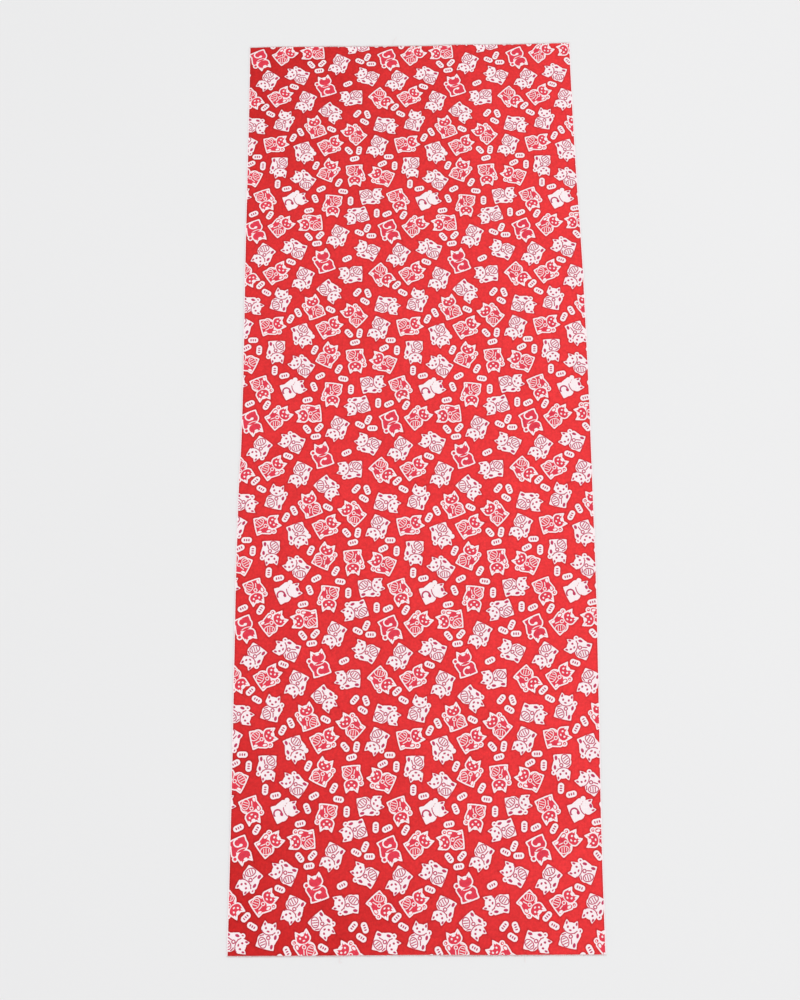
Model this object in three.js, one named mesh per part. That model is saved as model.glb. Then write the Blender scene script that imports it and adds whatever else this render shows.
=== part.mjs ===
/**
 * Printed cotton hand towel, the long narrow kind that is cut from a bolt of plain-woven cloth.
 *
 * It lies flat on its underside: X runs across the width, Y along the length, Z is up, and the
 * origin is under the middle of the cloth. The near end is at -Y. The long sides are woven edges
 * (selvedges); the two short ends are raw cuts with short yarn ends standing out of them, and a
 * few yarns have worked loose there.
 *
 * The cloth is divided at its three storage folds into four panels, counted from the near end, so
 * that it can fold. The two outer panels are a little shorter than the inner ones, so that the raw
 * ends and their loose yarns tuck inside the folds. Neighbouring solids stand SOLID_GAP apart.
 */
import * as THREE from 'three';

// Driving dimensions, in millimetres.
const CLOTH_LENGTH = 900;
const CLOTH_WIDTH = 335;
const CLOTH_THICKNESS = 0.4;
const INNER_PANEL_LENGTH = 229;
const SELVEDGE_WIDTH = 5;
const FRAY_LENGTH = 2;
const SOLID_GAP = 0.3;

// Loose yarns: a single ply is a round thread that lies on the surface under the cloth.
const YARN_DIAMETER = 0.4;
const YARN_SIDES = 8;
const YARN_STEPS = 24;
const YARN_REACH = 9;

// Each loose yarn leaves the raw end at x. Its route is a list of [sideways, outwards] points,
// sideways in millimetres from x and outwards as a share of YARN_REACH.
const LOOSE_YARNS = [
  {
    name: 'loose_yarn_near_left',
    x: -67.4,
    end: -1,
    route: [[0, 0], [0.5, 0.25], [0.2, 0.5], [-1.2, 0.72], [-1.6, 0.9], [-0.5, 1], [0.9, 0.9]],
  },
  {
    name: 'loose_yarn_near_right',
    x: 96.3,
    end: -1,
    route: [[0, 0], [0.1, 0.3], [-0.3, 0.6], [-0.2, 0.8], [0.3, 1]],
  },
  {
    name: 'loose_yarn_far',
    x: -19,
    end: 1,
    route: [[0, 0], [0.4, 0.3], [1.4, 0.58], [2.9, 0.85], [4.2, 1]],
  },
];

const HALF_LENGTH = CLOTH_LENGTH / 2;
const HALF_WIDTH = CLOTH_WIDTH / 2;

// Where the panels start and end along Y: the near raw end, the three folds, the far raw end.
const PANEL_LIMITS = [-HALF_LENGTH, -INNER_PANEL_LENGTH, 0, INNER_PANEL_LENGTH, HALF_LENGTH];
const PANEL_COUNT = PANEL_LIMITS.length - 1;

const printedCotton = { color: 0xdc343b, roughness: 0.9, metalness: 0 };
const selvedgeCotton = { color: 0xe4585d, roughness: 0.9, metalness: 0 };
const undyedYarn = { color: 0xf3e6e4, roughness: 0.95, metalness: 0 };

/** A named mesh with a material of its own. */
function namedMesh(name, geometry, finish) {
  const mesh = new THREE.Mesh(geometry, new THREE.MeshStandardMaterial(finish));
  mesh.name = name;
  return mesh;
}

/** A flat piece of cloth of the full thickness, lying on z = 0 between the given limits. */
function clothSlab(name, finish, xFrom, xTo, yFrom, yTo) {
  const geometry = new THREE.BoxGeometry(xTo - xFrom, yTo - yFrom, CLOTH_THICKNESS);
  const slab = namedMesh(name, geometry, finish);
  slab.position.set((xFrom + xTo) / 2, (yFrom + yTo) / 2, CLOTH_THICKNESS / 2);
  return slab;
}

/** One panel of the cloth: its printed field between its two selvedge bands. */
function clothPanel(number) {
  const nearTrim = number === 1 ? FRAY_LENGTH + SOLID_GAP : SOLID_GAP / 2;
  const farTrim = number === PANEL_COUNT ? FRAY_LENGTH + SOLID_GAP : SOLID_GAP / 2;
  const yFrom = PANEL_LIMITS[number - 1] + nearTrim;
  const yTo = PANEL_LIMITS[number] - farTrim;
  const bandInner = HALF_WIDTH - SELVEDGE_WIDTH;
  const fieldEdge = bandInner - SOLID_GAP;

  const panel = new THREE.Group();
  panel.add(
    clothSlab(`cloth_panel_${number}`, printedCotton, -fieldEdge, fieldEdge, yFrom, yTo),
    clothSlab(`selvedge_left_${number}`, selvedgeCotton, -HALF_WIDTH, -bandInner, yFrom, yTo),
    clothSlab(`selvedge_right_${number}`, selvedgeCotton, bandInner, HALF_WIDTH, yFrom, yTo),
  );
  return panel;
}

/** The strip of short yarn ends along a raw cut; end is -1 for the near end and 1 for the far. */
function frayedEnd(name, end) {
  const outer = end * HALF_LENGTH;
  const inner = end * (HALF_LENGTH - FRAY_LENGTH);
  const yFrom = Math.min(outer, inner);
  const yTo = Math.max(outer, inner);
  return clothSlab(name, undyedYarn, -HALF_WIDTH, HALF_WIDTH, yFrom, yTo);
}

/** A yarn that has worked loose: a thin tube that lies on the surface and points outwards. */
function looseYarn({ name, x, end, route }) {
  const radius = YARN_DIAMETER / 2;
  const start = HALF_LENGTH + SOLID_GAP;
  const span = YARN_REACH - SOLID_GAP;
  const points = route.map(([sideways, outwards]) => (
    new THREE.Vector3(x + sideways, end * (start + span * outwards), radius)
  ));
  const path = new THREE.CatmullRomCurve3(points, false, 'centripetal');

  // The section's corners lie on the circle, with two of them level, so that it rests on z = 0.
  const section = new THREE.Shape();
  for (let side = 0; side < YARN_SIDES; side += 1) {
    const angle = (side / YARN_SIDES) * 2 * Math.PI;
    const corner = [radius * Math.cos(angle), radius * Math.sin(angle)];
    if (side === 0) {
      section.moveTo(...corner);
    } else {
      section.lineTo(...corner);
    }
  }
  section.closePath();
  const geometry = new THREE.ExtrudeGeometry(section, { steps: YARN_STEPS, extrudePath: path });
  return namedMesh(name, geometry, undyedYarn);
}

const towel = new THREE.Group();
for (let number = 1; number <= PANEL_COUNT; number += 1) {
  towel.add(clothPanel(number));
}
towel.add(frayedEnd('frayed_end_near', -1));
towel.add(frayedEnd('frayed_end_far', 1));
LOOSE_YARNS.forEach((yarn) => towel.add(looseYarn(yarn)));

export default towel;
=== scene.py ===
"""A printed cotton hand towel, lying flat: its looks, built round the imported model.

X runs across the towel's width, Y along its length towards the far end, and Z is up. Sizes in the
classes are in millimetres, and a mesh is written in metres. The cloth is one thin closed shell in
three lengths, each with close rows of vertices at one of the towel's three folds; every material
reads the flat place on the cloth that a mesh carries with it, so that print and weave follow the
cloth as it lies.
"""
import logging
import math
from dataclasses import dataclass
from enum import Enum
from functools import reduce
from typing import Iterator, Sequence, Union

import bpy
import numpy as np
from mathutils import Matrix, Vector


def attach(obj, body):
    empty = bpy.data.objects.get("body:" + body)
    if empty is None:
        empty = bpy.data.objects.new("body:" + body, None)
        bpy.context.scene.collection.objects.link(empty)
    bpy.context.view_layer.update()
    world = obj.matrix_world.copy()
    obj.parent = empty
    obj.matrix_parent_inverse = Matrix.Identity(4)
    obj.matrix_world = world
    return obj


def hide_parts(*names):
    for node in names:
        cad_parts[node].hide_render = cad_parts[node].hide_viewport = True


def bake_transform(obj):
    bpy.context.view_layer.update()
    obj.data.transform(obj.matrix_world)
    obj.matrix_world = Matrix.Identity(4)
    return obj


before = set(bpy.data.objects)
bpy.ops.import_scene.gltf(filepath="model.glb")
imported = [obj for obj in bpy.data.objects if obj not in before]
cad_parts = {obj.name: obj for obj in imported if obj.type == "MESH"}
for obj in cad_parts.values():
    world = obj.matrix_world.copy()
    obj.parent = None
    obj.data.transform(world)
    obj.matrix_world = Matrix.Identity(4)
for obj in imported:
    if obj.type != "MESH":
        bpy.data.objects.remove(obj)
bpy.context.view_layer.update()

MM = 0.001
FLAT_PLACE = "flat_place"        # corner attribute: place on the flat cloth, mm, and the side
MOTIF_PLACE = "motif_place"      # corner attribute: place inside the nearest printed motif, mm
MOTIF_KIND = "motif_kind"        # corner attribute: shares of coin, line-drawn, back view, two paws
YARN_TONE = "yarn_tone"          # corner attribute: along the yarn, mm, round it, and its tone
BAKE_MAP = "OFBake"
HALF_WIDTH = 167.5               # half the cut cloth's width, mm
HALF_LENGTH = 450.0              # half its length, mm
NO_MOTIF = 500.0                 # a place that is far from any motif, mm

log = logging.getLogger("towel")


# ---------------------------------------------------------------- arithmetic for arrays and nodes


class Wire:
    """A number that shader nodes work out, with the operators of ordinary arithmetic."""

    def __init__(self, tree: bpy.types.NodeTree, socket: bpy.types.NodeSocket) -> None:
        """Takes hold of a node's output.

        Args:
            tree: the node tree.
            socket: the output that holds the number.
        """
        self.tree = tree
        self.socket = socket

    def math(self, operation: str, *others: "Number", clamp: bool = False) -> "Wire":
        """Adds one Math node that takes this number first.

        Args:
            operation: the Math node's operation.
            others: the other operands, numbers or wires.
            clamp: whether the result is held between 0 and 1.

        Returns:
            The node's result.
        """
        node = self.tree.nodes.new("ShaderNodeMath")
        node.operation = operation
        node.use_clamp = clamp
        for socket, operand in zip(node.inputs, (self, *others)):
            plug(self.tree, operand, socket)
        return Wire(self.tree, node.outputs[0])

    def __add__(self, other: "Number") -> "Wire":
        """This number plus another."""
        return self.math("ADD", other)

    def __sub__(self, other: "Number") -> "Wire":
        """This number minus another."""
        return self.math("SUBTRACT", other)

    def __rsub__(self, other: "Number") -> "Wire":
        """Another number minus this one."""
        return self.math("MULTIPLY_ADD", -1.0, other)

    def __mul__(self, other: "Number") -> "Wire":
        """This number times another."""
        return self.math("MULTIPLY", other)

    def __truediv__(self, other: "Number") -> "Wire":
        """This number over another."""
        return self.math("DIVIDE", other)

    __radd__ = __add__
    __rmul__ = __mul__


Number = Union[float, np.ndarray, Wire]
Point = tuple[float, float]
Colour = tuple[float, float, float]
Feed = Union[Number, Colour, bpy.types.NodeSocket]


def plug(tree: bpy.types.NodeTree, value: Feed, socket: bpy.types.NodeSocket) -> None:
    """Feeds a socket from a wire or another socket, or writes a plain value on it.

    Args:
        tree: the node tree.
        value: a wire, a socket, a number or a colour.
        socket: the input to feed.
    """
    if isinstance(value, Wire):
        tree.links.new(value.socket, socket)
    elif isinstance(value, bpy.types.NodeSocket):
        tree.links.new(value, socket)
    elif isinstance(value, tuple):
        socket.default_value = (*value, 1.0) if len(socket.default_value) == 4 else value
    else:
        socket.default_value = float(value)


def affine(x: Number, slope: Number, offset: Number) -> Number:
    """slope times x, plus offset."""
    return x.math("MULTIPLY_ADD", slope, offset) if isinstance(x, Wire) else slope * x + offset


def lower(a: Number, b: Number) -> Number:
    """The lower of two numbers: the distance to two shapes taken together."""
    return a.math("MINIMUM", b) if isinstance(a, Wire) else np.minimum(a, b)


def upper(a: Number, b: Number) -> Number:
    """The higher of two numbers: the distance to what two shapes share."""
    return a.math("MAXIMUM", b) if isinstance(a, Wire) else np.maximum(a, b)


def rounded_upper(a: Number, b: Number, rounding: float) -> Number:
    """Half of two numbers' sum and of the root of their squared difference plus a squared rounding.

    Args:
        a: the distance to one side of a shape.
        b: the distance to another side.
        rounding: how far the corner between them is rounded off, mm.

    Returns:
        The higher of the two, and a little more where they are nearly the same.
    """
    gap = a - b
    return affine(a + b + root(affine(gap, gap, rounding ** 2)), 0.5, 0.0)


def positive(x: Number) -> Number:
    """The number without its sign."""
    return x.math("ABSOLUTE") if isinstance(x, Wire) else np.abs(x)


def root(x: Number) -> Number:
    """The square root."""
    return x.math("SQRT") if isinstance(x, Wire) else np.sqrt(x)


def sine(x: Number) -> Number:
    """The sine of an angle in radians."""
    return x.math("SINE") if isinstance(x, Wire) else np.sin(x)


def held(x: Number, slope: float, offset: float) -> Number:
    """slope times x plus offset, held between 0 and 1."""
    return (x.math("MULTIPLY_ADD", slope, offset, clamp=True) if isinstance(x, Wire)
            else np.clip(slope * x + offset, 0.0, 1.0))


def length(u: Number, v: Number) -> Number:
    """The length of the vector (u, v)."""
    return root(affine(v, v, u * u))


def cosine_and_sine(degrees: float) -> Point:
    """The cosine and sine of an angle in degrees."""
    return math.cos(math.radians(degrees)), math.sin(math.radians(degrees))


def spun(u: Number, v: Number, centre: Point, degrees: float) -> tuple[Number, Number]:
    """Places as seen from turned axes: their step from the centre along each of the two axes.

    Args:
        u: places across, mm.
        v: places up, mm.
        centre: where the axes stand.
        degrees: how far they are turned anticlockwise.

    Returns:
        The places along the two axes, mm.
    """
    c, s = cosine_and_sine(degrees)
    along = affine(u, c, affine(v, s, -c * centre[0] - s * centre[1]))
    across = affine(u, -s, affine(v, c, s * centre[0] - c * centre[1]))
    return along, across


# ---------------------------------------------------------------- flat shapes of the print


class Shape:
    """A flat shape of the print, known by the distance of any place from its edge."""

    def distance(self, u: Number, v: Number) -> Number:
        """The distance outwards from the shape's edge to places (u, v), mm, below 0 inside."""
        raise NotImplementedError


@dataclass(frozen=True)
class Ellipse(Shape):
    """An ellipse with half axes along u and v, which may be turned about its centre."""

    centre: Point
    half: Point
    turn: float = 0.0

    def distance(self, u: Number, v: Number) -> Number:
        """The distance: k(k - 1) over the length of k's slope, where k is 1 on the ellipse.

        Args:
            u: places across, mm.
            v: places up, mm.

        Returns:
            The distances, mm, below 0 inside.
        """
        p, q = spun(u, v, self.centre, self.turn)
        p, q = p * (1.0 / self.half[0]), q * (1.0 / self.half[1])
        pp, qq = p * p, q * q
        square = pp + qq
        slope = affine(pp, self.half[0] ** -2, affine(qq, self.half[1] ** -2, 1e-9))
        return (square - root(square)) / root(slope)


@dataclass(frozen=True)
class Spot(Shape):
    """A small ellipse, upright, with half axes along u and v."""

    centre: Point
    half: Point

    def distance(self, u: Number, v: Number) -> Number:
        """The distance: the stretched radius less 1, times the shorter half axis.

        Args:
            u: places across, mm.
            v: places up, mm.

        Returns:
            The distances, mm, below 0 inside.
        """
        p = affine(u, 1.0 / self.half[0], -self.centre[0] / self.half[0])
        q = affine(v, 1.0 / self.half[1], -self.centre[1] / self.half[1])
        return affine(length(p, q), min(self.half), -min(self.half))


@dataclass(frozen=True)
class Capsule(Shape):
    """A rounded bar from one point to another."""

    start: Point
    end: Point
    radius: float

    def distance(self, u: Number, v: Number) -> Number:
        """The distance to the nearest point of the line between the ends, less the radius.

        Args:
            u: places across, mm.
            v: places up, mm.

        Returns:
            The distances, mm, below 0 inside.
        """
        (a, b), (c, d) = self.start, self.end
        du, dv = c - a, d - b
        square = du * du + dv * dv
        along = affine(v, dv / square, -(a * du + b * dv) / square) + u * (du / square)
        share = held(along, 1.0, 0.0)
        gap = length(u - affine(share, du, a), v - affine(share, dv, b))
        return gap - self.radius


@dataclass(frozen=True)
class Facets(Shape):
    """A convex shape with straight sides, its corners listed anticlockwise and rounded a little."""

    corners: tuple[Point, ...]
    rounding: float = 0.0

    def distance(self, u: Number, v: Number) -> Number:
        """The largest distance outwards from any side's line, with rounded corners.

        Args:
            u: places across, mm.
            v: places up, mm.

        Returns:
            The distances, mm, below 0 inside.
        """
        ends = zip(self.corners, self.corners[1:] + self.corners[:1])
        sides = (self.side(u, v, p, q) for p, q in ends)
        if not self.rounding:
            return reduce(upper, sides)
        return reduce(lambda a, b: rounded_upper(a, b, self.rounding), sides)

    @staticmethod
    def side(u: Number, v: Number, p: Point, q: Point) -> Number:
        """The distance outwards from a side's line: the step from a corner, along the side's right.

        Args:
            u: places across, mm.
            v: places up, mm.
            p: the side's first corner.
            q: its second.

        Returns:
            The distances, mm, below 0 inside.
        """
        run, rise = q[0] - p[0], q[1] - p[1]
        size = math.hypot(run, rise)
        out_u, out_v = rise / size, -run / size
        return affine(u, out_u, affine(v, out_v, -out_u * p[0] - out_v * p[1]))


@dataclass(frozen=True)
class Ring(Shape):
    """A line of even width along another shape's edge."""

    shape: Shape
    half_width: float

    def distance(self, u: Number, v: Number) -> Number:
        """The distance from the edge on either side of it, less half the line's width."""
        return positive(self.shape.distance(u, v)) - self.half_width


@dataclass(frozen=True)
class Cut(Shape):
    """The part of one shape that also lies in another."""

    shape: Shape
    window: Shape

    def distance(self, u: Number, v: Number) -> Number:
        """The larger of the two shapes' distances."""
        return upper(self.shape.distance(u, v), self.window.distance(u, v))


def together(shapes: Sequence[Shape], u: Number, v: Number) -> Number:
    """The distance to the nearest of several shapes, below 0 inside any of them."""
    return reduce(lambda best, shape: lower(best, shape.distance(u, v)), shapes[1:],
                  shapes[0].distance(u, v))


@dataclass(frozen=True)
class SittingCat:
    """A plain sitting cat with one paw up on its right of the picture, or both paws up.

    It is about 19 mm wide and 26 mm high, and its place (0, 0) is about the middle of it.
    """

    skull: Shape = Ellipse((-1.0, 5.9), (6.5, 4.8))
    body: tuple[Shape, ...] = (
        Facets(((0.2, 7.6), (-6.1, 13.2), (-7.8, 5.4), (-4.0, 4.4)), rounding=0.8),
        Facets(((2.2, 4.4), (5.8, 5.4), (4.2, 13.2), (-2.0, 7.6)), rounding=0.8),
        Ellipse((-1.2, -3.5), (7.7, 6.0)),
        Facets(((-9.6, -11.6), (-1.2, -11.4), (7.5, -12.5), (6.3, -4.0), (-8.3, -3.0)),
               rounding=0.8),
        Spot((7.6, 5.0), (2.1, 2.1)),
        Capsule((6.5, 1.1), (4.6, -4.4), 2.55),
    )
    second_paw: tuple[Shape, ...] = (
        Spot((-9.5, 5.0), (2.1, 2.1)),
        Capsule((-8.2, 1.1), (-6.4, -4.4), 2.5),
    )
    chin: Shape = Cut(Ring(Ellipse((-1.0, 5.9), (6.4, 4.7)), 0.45),
                      Facets(((-9.0, -2.0), (9.0, -2.0), (9.0, 4.6), (-9.0, 4.6))))
    face: tuple[Shape, ...] = (
        Spot((-3.7, 6.5), (0.95, 1.1)),
        Spot((1.6, 6.7), (0.95, 1.1)),
        Spot((-1.1, 4.0), (1.3, 0.8)),
    )
    markings: tuple[Shape, ...] = (
        Spot((6.3, 0.3), (1.25, 2.1)),
        Spot((4.7, -8.2), (1.3, 2.1)),
        Spot((7.9, 4.9), (0.65, 1.0)),
    )
    tips: tuple[Shape, ...] = (
        Spot((-5.3, 9.9), (0.9, 1.4)),
        Spot((3.7, 10.0), (0.9, 1.4)),
        Spot((-1.0, 9.2), (2.0, 1.3)),
    )
    bib: tuple[Shape, ...] = (
        Ring(Spot((0.3, -1.2), (1.45, 1.45)), 0.5),
        Ring(Ellipse((-4.0, -6.2), (3.3, 4.7), 30.0), 0.46),
        Capsule((-6.4, -4.7), (-4.1, -3.1), 0.42),
        Capsule((-6.0, -7.1), (-2.4, -4.7), 0.42),
        Capsule((-4.8, -8.9), (-1.5, -6.7), 0.42),
        Capsule((1.4, -3.6), (2.2, -7.2), 0.5),
        Capsule((-7.5, -1.0), (-4.6, 0.6), 0.5),
    )
    back_marks: tuple[Shape, ...] = (
        Spot((-2.4, -3.6), (1.8, 1.4)),
        Cut(Ring(Ellipse((-0.9, -6.8), (3.7, 3.5)), 0.75),
            Facets(((-1.8, -14.0), (8.0, -14.0), (8.0, 0.0), (-3.4, 0.0)))),
        Cut(Ring(Ellipse((-0.4, 4.6), (7.4, 5.2)), 0.45),
            Facets(((-9.0, -2.0), (3.0, -2.0), (3.0, 2.4), (-9.0, 2.4)))),
    )

    def outline(self, u: Number, v: Number, both: Number) -> Number:
        """The distance to the cat's outline.

        Args:
            u: places across, mm.
            v: places up, mm.
            both: 1 where both paws are up, else 0.

        Returns:
            The distance in mm, below 0 inside the cat.
        """
        whole = lower(self.skull.distance(u, v), together(self.body, u, v))
        away = affine(both, -NO_MOTIF, NO_MOTIF)
        return lower(whole, together(self.second_paw, u, v) + away)

    def drawing(self, u: Number, v: Number) -> tuple[Number, Number, Number]:
        """The distances to the lines inside the outline.

        Args:
            u: places across, mm.
            v: places up, mm.

        Returns:
            The distances to the lines of a front view, to the extra patches of one that is drawn
            in line only, and to the marks of a back view, in mm.
        """
        front = lower(together((self.chin, *self.face, *self.bib), u, v),
                      together(self.markings + self.tips[:2], u, v))
        patch = self.tips[2].distance(u, v)
        back = lower(together(self.back_marks, u, v), together(self.tips[:2], u, v))
        return front, patch, lower(back, patch)


@dataclass(frozen=True)
class OvalCoin:
    """A plain oval coin, long along u, with three short bars across it."""

    body: Shape = Capsule((-2.2, 0.0), (2.2, 0.0), 2.6)
    bars: tuple[Shape, ...] = (
        Capsule((-2.15, -0.6), (-2.15, 0.6), 0.62),
        Capsule((0.0, -0.6), (0.0, 0.6), 0.62),
        Capsule((2.15, -0.6), (2.15, 0.6), 0.62),
    )


# ---------------------------------------------------------------- where the print's motifs stand


class Motif(Enum):
    """The kinds of printed motif, with their shares of coin, line-drawn, back view and two paws."""

    LIGHT = (0.0, 0.0, 0.0, 0.0)
    LIGHT_BOTH_PAWS = (0.0, 0.0, 0.0, 1.0)
    LINE = (0.0, 1.0, 0.0, 0.0)
    LIGHT_BACK = (0.0, 0.0, 1.0, 0.0)
    LINE_BACK = (0.0, 1.0, 1.0, 0.0)
    COIN = (1.0, 0.0, 0.0, 0.0)


class Paw(Enum):
    """Which paw is up, with the sign that turns the drawing over."""

    RIGHT = 1.0
    LEFT = -1.0


@dataclass(frozen=True)
class Stamp:
    """One kind of motif and its places in the repeat: across, towards the near end, and turn.

    Places are in mm from the repeat's far left corner. The turn is in degrees anticlockwise.
    """

    motif: Motif
    paw: Paw
    places: tuple[tuple[float, float, float], ...]


STAMPS = (
    Stamp(Motif.LIGHT, Paw.RIGHT, (
        (15.5, 22, -12), (11, 75.5, -177), (36.5, 90, 59), (105.5, 110, -76), (91, 131.5, 111),
        (28.5, 168, 71))),
    Stamp(Motif.LIGHT, Paw.LEFT, (
        (64, 12.5, -141), (37.5, -0.5, 151), (85, 196, 87), (120.5, 28, -109), (112, 52.5, 149),
        (72, 155, 148), (101, 170.5, 59), (132.5, 176, 141))),
    Stamp(Motif.LIGHT_BOTH_PAWS, Paw.RIGHT, ((36, 59, -158),)),
    Stamp(Motif.LINE, Paw.RIGHT, (
        (115.5, 197.5, -134), (88, 37.5, 50), (7, 49, -74), (63.5, 51, -58), (62.5, 80, -23),
        (66, 119.5, 175.5), (44.5, 139.5, 99), (11, 194, -53))),
    Stamp(Motif.LINE, Paw.LEFT, (
        (47.5, 30, 18), (89.5, 85, -178), (116, 87.5, 62), (133, 114, -162), (14.5, 142.5, -56))),
    Stamp(Motif.LIGHT_BACK, Paw.LEFT, ((28, 113.5, -70),)),
    Stamp(Motif.LINE_BACK, Paw.RIGHT, ((123.5, 149.5, -153),)),
    Stamp(Motif.LINE_BACK, Paw.LEFT, ((57.5, 182, 15),)),
    Stamp(Motif.COIN, Paw.RIGHT, (
        (130, 6.5, 45), (1, 13.5, -30), (91, 14, 50), (101.5, 15, -70), (98.5, 23.5, -33),
        (64.5, 32, -28), (32.5, 35, -63), (25, 41.5, 62), (82.5, 57, -50), (93, 57, 80),
        (88.5, 66.5, 15), (123.5, 64.5, 0), (117, 72.5, 27), (129.5, 75, 87), (49, 74, 65),
        (10, 95, 87), (19.5, 100.5, 12), (72.5, 94, 60), (54.5, 101, 28), (77, 104, -10),
        (48.5, 112, -68), (84.5, 115, 88), (42.5, 125.5, 12), (3, 130.5, 60), (111, 129, 88),
        (121.5, 130, 25), (42.5, 155, -52), (54, 153.5, 48), (51, 162.5, 8), (93.5, 151, -27),
        (101.5, 146, 65), (105.5, 154.5, 0), (81, 179, 25), (25, 182, -22))),
)


@dataclass(frozen=True)
class PrintLayout:
    """The tossed print: one repeat of motifs, stamped over and over the cloth."""

    corner: Point = (-147.5, -212.4)
    across: Point = (135.0, -1.0)
    along: Point = (0.0, 201.0)
    columns: range = range(-1, 3)
    rows: range = range(-3, 6)
    reach: float = 17.0
    far_crowding_from: float = 235.0
    far_crowding: float = 0.0415
    far_lean: float = 0.007
    near_crowding_from: float = -396.0
    near_crowding: float = 0.055
    drift_x: tuple[Point, ...] = ((-168, 1.4), (40, -0.16), (124, -1.3), (168, -2.0))
    drift_y: tuple[Point, ...] = ((-168, -0.7), (40, -0.6), (124, 1.2), (168, 2.2))
    cat: SittingCat = SittingCat()
    coin: OvalCoin = OvalCoin()

    def drifted(self, at: np.ndarray) -> np.ndarray:
        """Places on the print's even repeat for places on the cloth.

        The print runs closer together near each end, by a share of the way past a line, and
        leans a little at the far one. It also drifts by an amount that depends on the place across.

        Args:
            at: places on the flat cloth, mm, as rows of x and y.

        Returns:
            The places, in the same rows.
        """
        x, y = at.T
        (knots_x, shifts_x), (knots_y, shifts_y) = (
            np.array(drift).T for drift in (self.drift_x, self.drift_y))
        far = np.clip(y - self.far_crowding_from, 0.0, None)
        near = np.clip(self.near_crowding_from - y, 0.0, None)
        crowded = y + far * self.far_crowding - near * self.near_crowding
        return np.stack([x - far * self.far_lean - np.interp(x, knots_x, shifts_x),
                         crowded - np.interp(x, knots_y, shifts_y)], axis=1)

    def placements(self, low: float, high: float) -> Iterator[tuple[Stamp, float, float, float]]:
        """Every motif that may touch a length of the cloth.

        Args:
            low: where the length starts along Y, mm.
            high: where it ends.

        Yields:
            The motif's stamp, its centre's X and Y on the cloth, and its turn in degrees.
        """
        for column in self.columns:
            for row in self.rows:
                for stamp in STAMPS:
                    for x, y, turn in stamp.places:
                        cx = self.corner[0] + x + self.across[0] * column + self.along[0] * row
                        cy = self.corner[1] - y + self.across[1] * column + self.along[1] * row
                        if low - self.reach < cy < high + self.reach:
                            yield stamp, cx, cy, turn

    def distance(self, stamp: Stamp, u: np.ndarray, v: np.ndarray) -> np.ndarray:
        """The distance from places inside a motif to its outline, mm, below 0 inside."""
        *_, both_paws = stamp.motif.value
        return (self.coin.body.distance(u, v) if stamp.motif is Motif.COIN
                else self.cat.outline(u, v, both_paws))

    def assign(self, middles: np.ndarray, corners: np.ndarray) -> tuple[np.ndarray, np.ndarray]:
        """Gives each face its nearest motif, and each face corner its place inside that motif.

        A place inside a motif is the step from its centre, turned back by the motif's turn, with
        the crosswise part's sign changed for a left paw.

        Args:
            middles: each face's middle on the flat cloth, mm, as rows of x and y.
            corners: each face corner's place on the flat cloth, four to a face.

        Returns:
            Each corner's place inside the motif as rows of u, v and 0, and each corner's kind.
        """
        nearest = np.full(len(middles), NO_MOTIF)
        far_off = (2 * NO_MOTIF, 2 * NO_MOTIF, 1.0, 0.0, 1.0)
        about = np.tile(far_off, (len(middles), 1))
        kinds = np.zeros((len(middles), 4))
        low, high = middles[:, 1].min(), middles[:, 1].max()
        for stamp, cx, cy, turn in self.placements(low, high):
            near = np.flatnonzero((np.abs(middles[:, 0] - cx) < self.reach)
                                  & (np.abs(middles[:, 1] - cy) < self.reach))
            if not len(near):
                continue
            c, s = cosine_and_sine(turn)
            dx, dy = middles[near, 0] - cx, middles[near, 1] - cy
            gap = self.distance(stamp, stamp.paw.value * (dx * c + dy * s), dy * c - dx * s)
            closer = gap < nearest[near]
            taken = near[closer]
            nearest[taken] = gap[closer]
            about[taken] = (cx, cy, c, s, stamp.paw.value)
            kinds[taken] = stamp.motif.value
        cx, cy, c, s, side = np.repeat(about, 4, axis=0).T
        dx, dy = corners[:, 0] - cx, corners[:, 1] - cy
        place = np.stack([side * (dx * c + dy * s), dy * c - dx * s, np.zeros(len(dx))], axis=1)
        return place, np.repeat(kinds, 4, axis=0)


# ---------------------------------------------------------------- materials


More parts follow.
